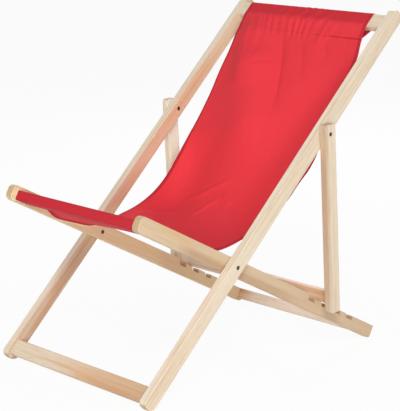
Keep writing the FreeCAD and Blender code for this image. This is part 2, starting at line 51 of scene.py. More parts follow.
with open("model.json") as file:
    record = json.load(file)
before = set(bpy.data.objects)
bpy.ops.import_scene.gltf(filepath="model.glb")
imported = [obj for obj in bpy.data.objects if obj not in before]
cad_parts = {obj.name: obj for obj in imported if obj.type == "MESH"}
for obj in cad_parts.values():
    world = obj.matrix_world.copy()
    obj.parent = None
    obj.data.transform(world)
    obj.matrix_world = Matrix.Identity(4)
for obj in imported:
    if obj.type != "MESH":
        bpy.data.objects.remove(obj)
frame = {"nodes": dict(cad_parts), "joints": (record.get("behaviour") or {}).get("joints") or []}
CAD_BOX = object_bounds()
MM = 0.001
JOINTS = {joint["name"]: Vector(joint["pos_m"]) for joint in frame["joints"]}
SEAT_PIVOT = JOINTS["seat_fold"]
PROP_PIVOT = JOINTS["prop_swing"]
# The tilts of the three frames. The back rails run through both pivots.
BACK_TILT = math.atan2(PROP_PIVOT.z - SEAT_PIVOT.z, PROP_PIVOT.y - SEAT_PIVOT.y)
SEAT_TILT = math.radians(-28.723)
PROP_TILT = math.radians(272.067)


def linear(hex_text):
    """An sRGB hex colour as linear red, green, blue and alpha."""
    channels = [int(hex_text[i : i + 2], 16) / 255 for i in (1, 3, 5)]
    return [c / 12.92 if c <= 0.04045 else ((c + 0.055) / 1.055) ** 2.4 for c in channels] + [1.0]


class SlingSettings(bpy.types.PropertyGroup):
    """Sizes and colours of the canvas sling."""

    canvas: FloatVectorProperty(
        name="Canvas", description="Red of the single layer",
        subtype="COLOR", size=4, default=linear("#E43A44"),
    )
    # The hem colour is painted shade on the doubled top, front and side hems.
    hem: FloatVectorProperty(
        name="Hem", description="Deeper red of the doubled hems",
        subtype="COLOR", size=4, default=linear("#B82430"),
    )
    thread: FloatVectorProperty(
        name="Thread", description="Sewing thread",
        subtype="COLOR", size=4, default=linear("#A8212C"),
    )
    width: FloatProperty(
        name="Width", description="Canvas from edge to edge", default=453 * MM, unit="LENGTH",
    )
    thickness: FloatProperty(
        name="Thickness", description="Canvas thickness", default=1.2 * MM, unit="LENGTH",
    )
    clearance: FloatProperty(
        name="Clearance", description="Crossbar to the middle of the canvas",
        default=1.0 * MM, unit="LENGTH",
    )
    top_seam: FloatProperty(
        name="Top seam", description="Top crossbar down to its seam", default=38 * MM, unit="LENGTH",
    )
    front_seam: FloatProperty(
        name="Front seam", description="Front crossbar back to its seam", default=30 * MM, unit="LENGTH",
    )
    side_hem: FloatProperty(
        name="Side hem", description="Turned-in hem along both edges", default=12 * MM, unit="LENGTH",
    )
    gather: FloatProperty(
        name="Gather", description="Height of the gathers above the top seam",
        default=3.8 * MM, unit="LENGTH",
    )
    fold: FloatProperty(
        name="Fold", description="Depth of the valleys under the gathers, as a share", default=1.5,
    )
    slack: FloatProperty(
        name="Slack", description="Height of the back's swells and hollows, as a share", default=1.2,
    )
    crease: FloatProperty(
        name="Crease", description="Height of the seat's creases, as a share", default=2.0,
    )
    left_rise: FloatProperty(
        name="Left rise", description="How far the left edge is drawn up", default=6 * MM, unit="LENGTH",
    )
    right_rise: FloatProperty(
        name="Right rise", description="How far the right edge is drawn up", default=20 * MM, unit="LENGTH",
    )
    left_slack: FloatProperty(
        name="Left slack", description="How far the seat's left edge hangs down",
        default=14.5 * MM, unit="LENGTH",
    )
    twist: FloatProperty(
        name="Twist", description="Left edge above the middle where the sling bends",
        default=3 * MM, unit="LENGTH",
    )
    draw_in: FloatProperty(
        name="Draw in", description="How much narrower the gathers make the top",
        default=8 * MM, unit="LENGTH",
    )
    left_shift: FloatProperty(
        name="Left shift", description="How far the top has slid towards the left rail",
        default=7 * MM, unit="LENGTH",
    )
    dish: FloatProperty(
        name="Dish", description="Sag of the seat's middle below its edges", default=14 * MM, unit="LENGTH",
    )
    seat_sag: FloatProperty(
        name="Seat sag", description="Slack of the seat behind the front crossbar",
        default=16 * MM, unit="LENGTH",
    )
    bend: FloatVectorProperty(
        name="Bend", description="Where the flat runs would meet, back and up from the seat pivot",
        size=2, default=(124 * MM, -27 * MM), unit="LENGTH",
    )
    bend_radius: FloatProperty(
        name="Bend radius", description="Rounding where the back run becomes the seat",
        default=260 * MM, unit="LENGTH",
    )
    thread_spacing: FloatProperty(
        name="Thread spacing", description="Spacing of the woven threads as drawn",
        default=1.6 * MM, unit="LENGTH",
    )
    stitch: FloatProperty(
        name="Stitch", description="Length of one stitch", default=3.4 * MM, unit="LENGTH",
    )


class WoodSettings(bpy.types.PropertyGroup):
    """Colours and grain of the pine frame."""

    pale: FloatVectorProperty(
        name="Sapwood", description="Pale sapwood", subtype="COLOR", size=4, default=linear("#F2E5D0"),
    )
    warm: FloatVectorProperty(
        name="Rings", description="Growth rings", subtype="COLOR", size=4, default=linear("#E6CFAE"),
    )
    # Heartwood on the left back rail's inner face is laid on heavier as painted shade.
    heart: FloatVectorProperty(
        name="Heartwood", description="Warm heartwood", subtype="COLOR", size=4, default=linear("#D8AB7C"),
    )
    # Tan on the right back rail's outer face is painted shade.
    tan: FloatVectorProperty(
        name="Tan", description="Board cut from darker wood",
        subtype="COLOR", size=4, default=linear("#CBAC84"),
    )
    # The dark tone is painted shade on the left back rail, the right prop leg and the foot crossbar, and a
    # dark streak of the wood on the right seat rail.
    dark: FloatVectorProperty(
        name="Dark", description="Darkest side of a board",
        subtype="COLOR", size=4, default=linear("#BC9876"),
    )
    honey: FloatVectorProperty(
        name="Honey", description="Board cut from yellower wood",
        subtype="COLOR", size=4, default=linear("#EACB92"),
    )
    end: FloatVectorProperty(
        name="End grain", description="Sawn ends", subtype="COLOR", size=4, default=linear("#BC9C74"),
    )
    ring_width: FloatProperty(
        name="Ring width", description="Growth rings from side to side", default=6 * MM, unit="LENGTH",
    )
    ring_length: FloatProperty(
        name="Ring length", description="Growth rings from end to end", default=190 * MM, unit="LENGTH",
    )


class PivotSettings(bpy.types.PropertyGroup):
    """Colours of the pivot hardware."""

    bolt: FloatVectorProperty(
        name="Bolt", description="Blackened steel of bolts and nuts",
        subtype="COLOR", size=4, default=linear("#6B6660"),
    )
    washer: FloatVectorProperty(
        name="Washer", description="Zinc-plated washers",
        subtype="COLOR", size=4, default=linear("#C9CACB"),
    )


class StageSettings(bpy.types.PropertyGroup):
    """Camera and light of the studio."""

    camera_place: FloatVectorProperty(
        name="Camera", description="Where the camera stands",
        size=3, default=(3.00083, -2.68077, 1.29663), unit="LENGTH",
    )
    camera_turn: FloatVectorProperty(
        name="Turn", description="Camera turned to the side, up, and about its own view",
        size=3, subtype="EULER",
        default=(math.radians(48.31), math.radians(-12.984), math.radians(-1.126)),
    )
    lens: FloatProperty(
        name="Lens", description="Focal length for a 36 mm sensor",
        default=142.96, subtype="DISTANCE_CAMERA",
    )
    floor: FloatVectorProperty(
        name="Floor", description="Floor and backdrop as the camera sees them",
        subtype="COLOR", size=4, default=linear("#FFFFFF"),
    )
    key: FloatProperty(
        name="Key lamp", description="Power of the large lamp above and beside the chair",
        default=106.0, unit="POWER",
    )
    low: FloatProperty(
        name="Low lamp", description="Power of the low lamp that reaches under the seat",
        default=130.0, unit="POWER",
    )
    fill: FloatProperty(
        name="Fill lamp", description="Power of the lamp in front, on the chair's left",
        default=9.0, unit="POWER",
    )
    back: FloatProperty(
        name="Back lamp", description="Power of the lamp behind the chair", default=38.0, unit="POWER",
    )
    sky: FloatProperty(name="Sky", description="Strength of the even studio light", default=0.28)


# Sockets of a colour Mix node: its share, the colours that it goes from and to, and its result.
SHARE, FROM, TO, MIXED = 0, 6, 7, 2
# Spacing of a Wave node's bands at scale 1.
WAVE_SPACING = math.pi / 10


def add(tree, kind, inputs=None, stops=(), **settings):
    """Adds a node. Its inputs are values or other nodes' outputs, its stops a ramp's places and colours."""
    node = tree.nodes.new(kind)
    for name, value in settings.items():
        setattr(node, name, value)
    for name, value in (inputs or {}).items():
        if isinstance(value, bpy.types.NodeSocket):
            tree.links.new(value, node.inputs[name])
        else:
            node.inputs[name].default_value = value
    for number, (place, colour) in enumerate(stops):
        if number >= len(node.color_ramp.elements):
            node.color_ramp.elements.new(place)
        node.color_ramp.elements[number].position = place
        node.color_ramp.elements[number].color = colour
    return node


def new_material(name):
    """A node material with one shader: the material, its nodes and the shader."""
    material = bpy.data.materials.new(name)
    material.use_nodes = True
    return material, material.node_tree, material.node_tree.nodes["Principled BSDF"]


def wear(node_name, material):
    """Gives a CAD node its material."""
    mesh = frame["nodes"][node_name].data
    mesh.materials.clear()
    mesh.materials.append(material)


# Wooden pieces: the way the grain runs, the frame's tilt and pivot, a place in the log, how much
# heartwood shows and how tan the board is. Below zero it is paler than sapwood.
RAIL, BAR = "rail", "bar"
WOODEN = {
    "back_rail_left": (RAIL, BACK_TILT, SEAT_PIVOT, 1.3, 0.30, 0.10),
    "back_rail_right": (RAIL, BACK_TILT, SEAT_PIVOT, 4.1, 0.10, 0.08),
    "seat_rail_left": (RAIL, SEAT_TILT, SEAT_PIVOT, 7.7, 0.12, 0.10),
    "seat_rail_right": (RAIL, SEAT_TILT, SEAT_PIVOT, 2.9, 0.12, 0.75),
    "prop_leg_left": (RAIL, PROP_TILT, PROP_PIVOT, 5.2, 0.25, 0.00),
    "prop_leg_right": (RAIL, PROP_TILT, PROP_PIVOT, 9.4, 0.12, 0.30),
    "foot_crossbar": (BAR, BACK_TILT, SEAT_PIVOT, 3.6, 0.30, 0.25),
    "top_crossbar": (BAR, BACK_TILT, SEAT_PIVOT, 6.1, 0.10, 0.25),
    "front_crossbar": (BAR, SEAT_TILT, SEAT_PIVOT, 8.8, 0.20, 0.20),
    "rear_stretcher": (BAR, SEAT_TILT, SEAT_PIVOT, 0.7, 0.14, -0.20),
    "prop_crossbar": (BAR, PROP_TILT, PROP_PIVOT, 2.2, 0.60, 0.00),
}
# Boards whose wood changes from side to side, and boards with painted shade laid on as a tone: an axis
# in the piece's own directions, where on it the other tone comes in and is full, from where to where it
# shows along a rail, which tone it is and its share. X is across the chair, and places are in millimetres.
BOARD_TONES_AND_SHADE = {
    # Painted shade on the left back rail's inner face: heartwood, partly the wood's own and partly shade
    # from the sling, and below the seat the dark tone, shade from the seat.
    "back_rail_left": [
        ("X", -262, -257.5, (-80, 920), "heart", 0.55),
        ("X", -262, -257.5, (-480, 40), "dark", 0.6),
    ],
    # Painted shade: the tan darkens the right back rail's outer face, which gets less light than its front
    # edge.
    "back_rail_right": [("X", 268, 279, None, "tan", 0.28)],
    "seat_rail_right": [("Z", 3, -5, (-190, 300), "dark", 0.65)],
    "seat_rail_left": [("X", -260, -256, None, "honey", 0.65)],
    "rear_stretcher": [("X", -170, -222, None, "heart", 0.9)],
    # Painted shade: the dark tone darkens the right prop leg's front face, which faces away from the lamps.
    "prop_leg_right": [("Z", -8, -17, None, "dark", 0.6)],
    # Painted shade: the dark tone darkens the foot crossbar towards its right end, where less light falls.
    # Its heartwood is the wood's own.
    "foot_crossbar": [("X", -120, 160, None, "heart", 0.8), ("X", 40, 240, None, "dark", 0.45)],
    "prop_crossbar": [("X", 90, 280, None, "heart", 0.8)],
}
# Along a rail another tone comes in and goes out over these lengths.
TONE_IN, TONE_OUT = 60 * MM, 120 * MM
# Width and length of the grain's marks. Heartwood streaks are a finger wide. Pine fibres are under 0.1 mm
# wide; they are drawn at 1.4 mm, so that they show.
STREAK = (18 * MM, 380 * MM)
FIBRE = (1.4 * MM, 70 * MM)


def board_tones_and_shade(tree, wood, rows, piece, streaks, colour):
    """Brings a board's other tones and painted shade in over its colour, each with a border that wanders
    with the streaks.
    """
    sides = add(tree, "ShaderNodeSeparateXYZ", {"Vector": piece}).outputs
    for axis, start, full, run, tone, most in rows:
        wander = add(
            tree, "ShaderNodeMapRange",
            {"Value": streaks, "From Min": 0.3, "From Max": 0.7, "To Min": -0.35, "To Max": 0.35},
        ).outputs["Result"]
        share = add(
            tree, "ShaderNodeMapRange",
            {"Value": sides[axis], "From Min": start * MM, "From Max": full * MM, "To Max": most},
        ).outputs["Result"]
        if run:
            first, last = run[0] * MM, run[1] * MM
            for begin, end in ((first, first + TONE_IN), (last, last - TONE_OUT)):
                shown = add(
                    tree, "ShaderNodeMapRange", {"Value": sides["Y"], "From Min": begin, "From Max": end}
                ).outputs["Result"]
                share = add(tree, "ShaderNodeMath", {0: share, 1: shown}, operation="MULTIPLY").outputs[0]
        share = add(
            tree, "ShaderNodeMath", {0: wander, 1: share, 2: share}, operation="MULTIPLY_ADD", use_clamp=True
        ).outputs[0]
        colour = add(
            tree, "ShaderNodeMix", {SHARE: share, FROM: colour, TO: getattr(wood, tone)}, data_type="RGBA"
        ).outputs[MIXED]
    return colour


def sawn_ends(tree, way, tilt):
    """How much of a face is a sawn end: none on the sides, most where the grain meets the face squarely."""
    facing = add(tree, "ShaderNodeTexCoord").outputs["Normal"]
    facing = add(tree, "ShaderNodeMapping", {"Vector": facing, "Rotation": (-tilt, 0, 0)}).outputs[0]
    facing = add(tree, "ShaderNodeSeparateXYZ", {"Vector": facing}).outputs["Y" if way == RAIL else "X"]
    facing = add(tree, "ShaderNodeMath", {0: facing}, operation="ABSOLUTE").outputs[0]
    return add(
        tree, "ShaderNodeMapRange", {"Value": facing, "From Min": 0.6, "From Max": 0.95, "To Max": 0.75}
    ).outputs["Result"]


def pine_material(name, wood, way, tilt, pivot, log_place, heart, tan):
    """Sanded pine, oiled thinly: a pale matt ground with soft rings, warm heartwood and duller sawn ends,
    with painted shade on some boards.
    """
    material, tree, shader = new_material("sanded_pine_" + name)
    place = add(tree, "ShaderNodeTexCoord").outputs["Object"]
    # The piece's own directions, from its pivot: X across the chair, Y along the rails.
    home = -(Matrix.Rotation(-tilt, 3, "X") @ pivot)
    piece = add(
        tree, "ShaderNodeMapping", {"Vector": place, "Rotation": (-tilt, 0, 0), "Location": home}
    ).outputs[0]

    def grain(width, length, detail, distortion=0.0):
        """Marks of a width and length that run with the grain."""
        size = (width, length, width) if way == RAIL else (length, width, width)
        scale = [1 / side for side in size]
        shift = (log_place * 7, log_place * 3, log_place * 5)
        marks = add(
            tree, "ShaderNodeMapping", {"Vector": piece, "Scale": scale, "Location": shift}
        ).outputs[0]
        return add(
            tree, "ShaderNodeTexNoise",
            {"Vector": marks, "Scale": 1.0, "Detail": detail, "Distortion": distortion},
        ).outputs["Fac"]

    rings = grain(wood.ring_width, wood.ring_length, detail=3.0, distortion=0.5)
    streaks = grain(*STREAK, detail=2.0)
    fibres = grain(*FIBRE, detail=2.0)
    pale, warm = [[c + (t - c) * tan for c, t in zip(ground, wood.tan)] for ground in (wood.pale, wood.warm)]
    stops = [(0.40, pale), (0.54, pale), (0.62, warm), (0.68, pale)]
    colour = add(tree, "ShaderNodeValToRGB", {"Fac": rings}, stops).outputs["Color"]
    edge = 0.66 - 0.3 * heart
    share = add(
        tree, "ShaderNodeMapRange",
        {"Value": streaks, "From Min": edge, "From Max": edge + 0.14, "To Max": 0.75},
    ).outputs["Result"]
    colour = add(
        tree, "ShaderNodeMix", {SHARE: share, FROM: colour, TO: wood.heart}, data_type="RGBA"
    ).outputs[MIXED]
    colour = board_tones_and_shade(tree, wood, BOARD_TONES_AND_SHADE.get(name, ()), piece, streaks, colour)
    fine = add(
        tree, "ShaderNodeMapRange",
        {"Value": fibres, "From Min": 0.35, "From Max": 0.7, "To Min": 1.0, "To Max": 0.9},
    ).outputs["Result"]
    colour = add(
        tree, "ShaderNodeMix", {SHARE: 1.0, FROM: colour, TO: fine}, data_type="RGBA", blend_type="MULTIPLY"
    ).outputs[MIXED]
    # Sawn ends show the cut fibres, so they are duller and darker than the sides.
    sawn = sawn_ends(tree, way, tilt)
    colour = add(
        tree, "ShaderNodeMix", {SHARE: sawn, FROM: colour, TO: wood.end}, data_type="RGBA"
    ).outputs[MIXED]
    tree.links.new(colour, shader.inputs["Base Color"])
    bump = add(tree, "ShaderNodeBump", {"Height": fibres, "Strength": 0.15, "Distance": 0.3 * MM}).outputs[0]
    tree.links.new(bump, shader.inputs["Normal"])
    shader.inputs["Roughness"].default_value = 0.5
    shader.inputs["IOR"].default_value = 1.47
    return material


class CHAIR_OT_finish_frame(bpy.types.Operator):
    """Finishes the rails, legs and crossbars in sanded pine"""

    bl_idname = "chair.finish_frame"
    bl_label = "Finish Frame"

    def execute(self, context):
        for name, look in WOODEN.items():
            wear(name, pine_material(name, context.scene.chair_wood, *look))
        return {"FINISHED"}


def beech_material():
    """Turned beech: even pale brown with short flecks along the dowel, matt from the lathe."""
    material, tree, shader = new_material("turned_beech")
    place = add(tree, "ShaderNodeTexCoord").outputs["Object"]
    flecks = add(
        tree, "ShaderNodeMapping", {"Vector": place, "Scale": (1 / (6 * MM), 1 / (1 * MM), 1 / (1 * MM))}
    ).outputs[0]
    flecks = add(tree, "ShaderNodeTexNoise", {"Vector": flecks, "Scale": 1.0, "Detail": 2.0}).outputs["Fac"]
    stops = [(0.45, linear("#D9B48A")), (0.65, linear("#C49A6C"))]
    colour = add(tree, "ShaderNodeValToRGB", {"Fac": flecks}, stops).outputs["Color"]
    tree.links.new(colour, shader.inputs["Base Color"])
    shader.inputs["Roughness"].default_value = 0.6
    return material


class CHAIR_OT_finish_dowels(bpy.types.Operator):
    """Finishes the dowels inside the joints in turned beech"""

    bl_idname = "chair.finish_dowels"
    bl_label = "Finish Dowels"

    def execute(self, context):
        beech = beech_material()
        for name in frame["nodes"]:
            if name.endswith("_dowels"):
                wear(name, beech)
        return {"FINISHED"}


def bolt_material(pivots):
    """Blackened steel, turned: dark and half dull, with a little rust bloom."""
    material, tree, shader = new_material("blackened_steel_turned")
    place = add(tree, "ShaderNodeTexCoord").outputs["Object"]
    bloom = add(
        tree, "ShaderNodeTexNoise", {"Vector": place, "Scale": 1 / (3 * MM), "Detail": 3.0}
    ).outputs["Fac"]
    stops = [(0.45, pivots.bolt), (0.7, linear("#5A4434"))]
    colour = add(tree, "ShaderNodeValToRGB", {"Fac": bloom}, stops).outputs["Color"]
    rough = add(
        tree, "ShaderNodeMapRange",
        {"Value": bloom, "From Min": 0.3, "From Max": 0.7, "To Min": 0.35, "To Max": 0.6},
    ).outputs["Result"]
    tree.links.new(colour, shader.inputs["Base Color"])
    tree.links.new(rough, shader.inputs["Roughness"])
    shader.inputs["Metallic"].default_value = 1.0
    return material


def washer_material(pivots):
    """Zinc-plated steel, stamped: a pale grey crystal bloom with soft reflections."""
    material, tree, shader = new_material("zinc_plated_steel_stamped")
    place = add(tree, "ShaderNodeTexCoord").outputs["Object"]
    crystal = add(tree, "ShaderNodeTexVoronoi", {"Vector": place, "Scale": 1 / (2 * MM)}).outputs["Distance"]
    rough = add(
        tree, "ShaderNodeMapRange", {"Value": crystal, "To Min": 0.3, "To Max": 0.45}
    ).outputs["Result"]
    tree.links.new(rough, shader.inputs["Roughness"])
    shader.inputs["Base Color"].default_value = pivots.washer
    shader.inputs["Metallic"].default_value = 1.0
    return material


class CHAIR_OT_finish_pivots(bpy.types.Operator):
    """Finishes the pivot bolts, sleeve nuts and washers"""

    bl_idname = "chair.finish_pivots"
    bl_label = "Finish Pivots"

    def execute(self, context):
        black = bolt_material(context.scene.chair_pivots)
        zinc = washer_material(context.scene.chair_pivots)
        for name in frame["nodes"]:
            if "_pivot_washer_" in name:
                wear(name, zinc)
            elif "_pivot_" in name:
                wear(name, black)
        return {"FINISHED"}


def along(tilt):
    """The way along a frame's rails, in the side view."""
    return np.array((math.cos(tilt), math.sin(tilt)))


def across(tilt):
    """The way square to a frame's rails, towards the sitter, in the side view."""
    return np.array((-math.sin(tilt), math.cos(tilt)))


def bar_section(name, tilt):
    """A crossbar's sides, from the seat pivot: the two along its rails, then the two towards the sitter."""
    corners = [(v.co.y - SEAT_PIVOT.y, v.co.z - SEAT_PIVOT.z) for v in frame["nodes"][name].data.vertices]
    up, out = np.array(corners) @ along(tilt), np.array(corners) @ across(tilt)
    return up.min(), up.max(), out.min(), out.max()


def spot(tilt, up, out):
    """A place in a frame's side view, back and up from the seat pivot."""
    return up * along(tilt) + out * across(tilt)


def unit(vector):
    """The way of a vector, with length 1."""
    return vector / np.linalg.norm(vector)


def straight(first, last, step):
    """Even steps from a first place, which is left out, to a last one."""
    count = max(1, round(np.linalg.norm(last - first) / step))
    return [first + (last - first) * k / count for k in range(1, count + 1)]


def rounded(corners, step):
    """A run through corners, given as (place, radius) and rounded, and the index of each corner in it."""
    points, marks = [corners[0][0]], [0]
    for (before, _), (corner, radius), (after, _) in zip(corners, corners[1:], corners[2:]):
        inward, outward = unit(corner - before), unit(after - corner)
        turn = math.acos(np.clip(inward @ outward, -1, 1))
        start = corner - inward * radius * math.tan(turn / 2)
        points += straight(points[-1], start, step)
        side = np.sign(inward[0] * outward[1] - inward[1] * outward[0]) or 1.0
        centre = start + side * radius * np.array((-inward[1], inward[0]))
        spoke = start - centre
        count = max(3, round(radius * turn / step))
        marks.append(len(points) - 1 + count // 2)
        for k in range(1, count + 1):
            c, s = math.cos(side * turn * k / count), math.sin(side * turn * k / count)
            points.append(centre + np.array((spoke[0] * c - spoke[1] * s, spoke[0] * s + spoke[1] * c)))
    points += straight(points[-1], corners[-1][0], step)
    marks.append(len(points) - 1)
    return np.array(points), marks


# How the canvas is laid. It rounds the crossbars' eased edges, the edges where its ends lap back, the
# places where it leaves a crossbar, and its slack. The laps lie 1.3 thicknesses behind the panel.
BAR_EDGE, LAP_EDGE, LEAVE_ROUND, SLACK_ROUND = 4.5 * MM, 5 * MM, 16 * MM, 130 * MM
LAP_PLIES = 1.3
# The canvas leaves the top crossbar above its lower edge and reaches the front one in front of its rear
# edge. Its slack lies this far behind that.
TOP_LEAVE, FRONT_REACH, SLACK_BACK = 4 * MM, 2 * MM, 100 * MM
# Spacing of the canvas's points along its run, and how many there are across it.
ROW_STEP = 4 * MM
COLUMNS = 151


def sling_run(sling):
    """The sling's middle line from its seam behind the top crossbar round to its seam under the front one,
    in metres from the seat pivot, with the distances along it of its points and of its named places."""
    gap, ply = sling.clearance, LAP_PLIES * sling.thickness
    low, high, back, front = bar_section("top_crossbar", BACK_TILT)
    leave = spot(BACK_TILT, low + TOP_LEAVE, front + gap)
    bend = np.array(sling.bend)
    nose, heel, under, over = bar_section("front_crossbar", SEAT_TILT)
    arrive = spot(SEAT_TILT, heel - FRONT_REACH, over + gap)
    down, forward = unit(bend - leave), unit(arrive - bend)
    slack = arrive - forward * SLACK_BACK - sling.seat_sag * np.array((forward[1], -forward[0]))
    forward = unit(arrive - slack)
    seam = leave + down * (sling.top_seam + TOP_LEAVE)
    tuck = arrive - forward * sling.front_seam
    corners = [
        (seam - ply * np.array((down[1], -down[0])), 0),
        (spot(BACK_TILT, low - gap, back - gap), LAP_EDGE),
        (spot(BACK_TILT, high + gap, back - gap), BAR_EDGE),
        (spot(BACK_TILT, high + gap, front + gap), BAR_EDGE),
        (leave, LEAVE_ROUND),
        (bend, sling.bend_radius),
        (slack, SLACK_ROUND),
        (arrive, LEAVE_ROUND),
        (spot(SEAT_TILT, nose - gap, over + gap), BAR_EDGE),
        (spot(SEAT_TILT, nose - gap, under - gap), BAR_EDGE),
        (spot(SEAT_TILT, heel + gap, under - gap), LAP_EDGE),
        (tuck - ply * np.array((forward[1], -forward[0])), 0),
    ]
    points, marks = rounded(corners, ROW_STEP)
    run = np.concatenate(([0], np.cumsum(np.linalg.norm(np.diff(points, axis=0), axis=1))))
    places = {"leave": run[marks[4]], "bend": run[marks[5]], "arrive": run[marks[7]]}
    places["seam"] = places["leave"] + sling.top_seam + TOP_LEAVE
    places["tuck"] = places["arrive"] - sling.front_seam
    return points, run, places


def ease(value, start, end):
    """0 before start, 1 after end, smooth between."""
    t = np.clip((value - start) / (end - start), 0, 1)
    return t * t * (3 - 2 * t)


def stretch(value, start, full, fade, end):
    """1 along a stretch of the canvas, given in millimetres, and 0 beyond it, smooth at both ends."""
    return ease(value, start * MM, full * MM) * (1 - ease(value, fade * MM, end * MM))


def ridge(value, middle, width):
    """1 at the middle, falling off round it."""
    return np.exp(-(((value - middle) / width) ** 2))


# Gathers above the top seam: (place across, height share, lean, width), in millimetres from the middle.
GATHERS = [
    (-176, 0.7, -0.5, 7), (-141, 1.0, -0.5, 6), (-126, 0.6, -0.5, 5), (-108, 1.0, -0.45, 6),
    (-88, 1.0, -0.4, 7), (-62, 0.6, -0.3, 9), (-37, 1.1, -0.28, 7), (-14, 1.2, -0.22, 6), (4, 0.8, -0.1, 5),
    (24, 0.9, 0.0, 7), (48, 0.5, 0.1, 10), (83, 0.8, 0.3, 8), (106, 0.5, 0.35, 12), (150, 0.3, 0.2, 14),
]
# Lines of the slack canvas: points of (place across, run), a height, and widths to the left and right of
# the line, in millimetres. Wrinkles of the top hem, sharp valleys under the gathers and broad swells and
# hollows of the back are measured from the top seam, creases of the seat from the middle of the bend.
WRINKLES = [
    ([(2, -82), (-24, -54), (-46, -26)], 3.0, 6, 5),
    ([(52, -80), (26, -54), (0, -24)], 3.0, 7, 5),
    ([(-56, -80), (-74, -54), (-88, -30)], 2.4, 6, 5),
    ([(98, -76), (72, -50), (48, -20)], 2.4, 7, 5),
    ([(24, -80), (8, -62)], 2.0, 5, 4),
]
VALLEYS = [
    ([(-55, 4), (-44, 34), (-24, 78), (-4, 128), (20, 200), (36, 270)], -5.5, 34, 14),
    ([(-118, 8), (-112, 40), (-100, 90)], -2.5, 24, 12),
    ([(18, 6), (32, 48), (52, 90), (74, 140)], -3.0, 26, 14),
    ([(-160, 6), (-148, 40), (-140, 80)], -2.0, 14, 10),
    ([(100, 6), (112, 40), (130, 90)], -2.0, 20, 12),
]
SWELLS = [
    ([(-168, -60), (-162, 20), (-148, 70), (-120, 125), (-80, 190)], 20, 42, 72),
    ([(-140, 50), (-114, 125), (-78, 190), (-40, 264), (-20, 345), (0, 420)], 21, 82, 68),
    ([(-230, 100), (-230, 200), (-228, 300), (-226, 430)], -5, 40, 44),
    ([(-194, 310), (-178, 373), (-168, 450), (-160, 545), (-150, 640)], -18, 44, 80),
    ([(174, -40), (178, 240), (177, 320), (163, 380), (155, 440), (146, 640)], -24, 115, 66),
    ([(226, 300), (226, 400), (226, 520)], -7.5, 46, 46),
]
CREASES = [
    ([(-141, -96), (-92, -112), (-40, -150), (16, -190)], 2.2, 4, 9),
    ([(-57, -32), (-36, -80), (-12, -128)], 2.0, 4, 8),
    ([(-12, -128), (20, -116), (42, -106)], 1.8, 8, 4),
    ([(42, -110), (80, -80), (112, -46), (140, 10)], 1.8, 8, 5),
    ([(-128, -55), (-168, -20), (-196, 30)], 1.6, 6, 9),
]
# Stretches of the canvas, in millimetres: where an effect starts, is full, begins to fade and ends. The
# edges rise below the top seam, from these places across; the left edge hangs slack behind the front
# crossbar.
LEFT_RISES, LEFT_FROM = (240, 420, 640, 760), 130 * MM
RIGHT_RISES, RIGHT_FROM = (310, 450, 620, 770), 110 * MM
LEFT_HANGS = (30, 110, 200, 330)
# The gathers come in where the canvas leaves the top crossbar and go out below its seam. The hollows
# between them have this share of a gather's height and come in just off the bar.
GATHERS_IN, GATHERS_OUT = (-10 * MM, 14 * MM), (1 * MM, 30 * MM)
HOLLOW, HOLLOWS_IN = 0.45, (6 * MM, 20 * MM)
# The top is drawn in as far as its seam, and the free panel begins below that and ends behind the front
# crossbar.
TOP_ENDS, PANEL_BEGINS, PANEL_ENDS = (-20 * MM, 50 * MM), (0, 90 * MM), (10 * MM, 90 * MM)
# Where along the run, from the bend, the sling twists and the seat dishes, and over what width. This
# share of the dish lies below the flat run, and the rest above it at the edges.
TWIST_AT, TWIST_WIDE = -20 * MM, 170 * MM
DISH_AT, DISH_WIDE, DISH_BELOW = -90 * MM, 260 * MM, 0.6
# Depths and widths of the dent at the top seam and of the roll along both edges.
SEAM_DENT, SEAM_WIDE = 0.8 * MM, 3.0 * MM
EDGE_ROLL, EDGE_WIDE = 4.5 * MM, 16 * MM


def along_line(x, run, line, height, left, right, fade=0.2, sharp=False):
    """A ridge or hollow along a line of the canvas, round or with a sharp crest, fading at both ends."""
    nearest, share, beside = np.full_like(x, np.inf), np.zeros_like(x), np.zeros_like(x)
    spots = np.array(line) * MM
    lengths = np.linalg.norm(np.diff(spots, axis=0), axis=1)
    total, done = lengths.sum(), 0.0
    for (x0, r0), (x1, r1), length in zip(spots, spots[1:], lengths):
        t = np.clip(((x - x0) * (x1 - x0) + (run - r0) * (r1 - r0)) / length**2, 0, 1)
        off = np.hypot(x - x0 - t * (x1 - x0), run - r0 - t * (r1 - r0))
        closer = off < nearest
        nearest = np.where(closer, off, nearest)
        beside = np.where(closer, x - x0 - t * (x1 - x0), beside)
        share = np.where(closer, (done + t * length) / total, share)
        done += length
    off = nearest / (MM * np.where(beside < 0, left, right))
    crest = np.exp(-off) if sharp else np.exp(-(off**2))
    return height * MM * crest * ease(share, 0, fade) * (1 - ease(share, 0.6, 1))


def gathered_hem(sling, x, run, places):
    """How far the gathers stand out between the top crossbar and its seam. Over the bar they only rise."""
    off_bar, below = run - places["leave"], run - places["seam"]
    hem = ease(off_bar, *GATHERS_IN) * (1 - ease(below, *GATHERS_OUT))
    gathers = np.zeros_like(x)
    for middle, share, lean, width in GATHERS:
        gathers += share * ridge(x, middle * MM - lean * below, width * MM)
    return sling.gather * hem * (gathers - HOLLOW * ease(off_bar, *HOLLOWS_IN))


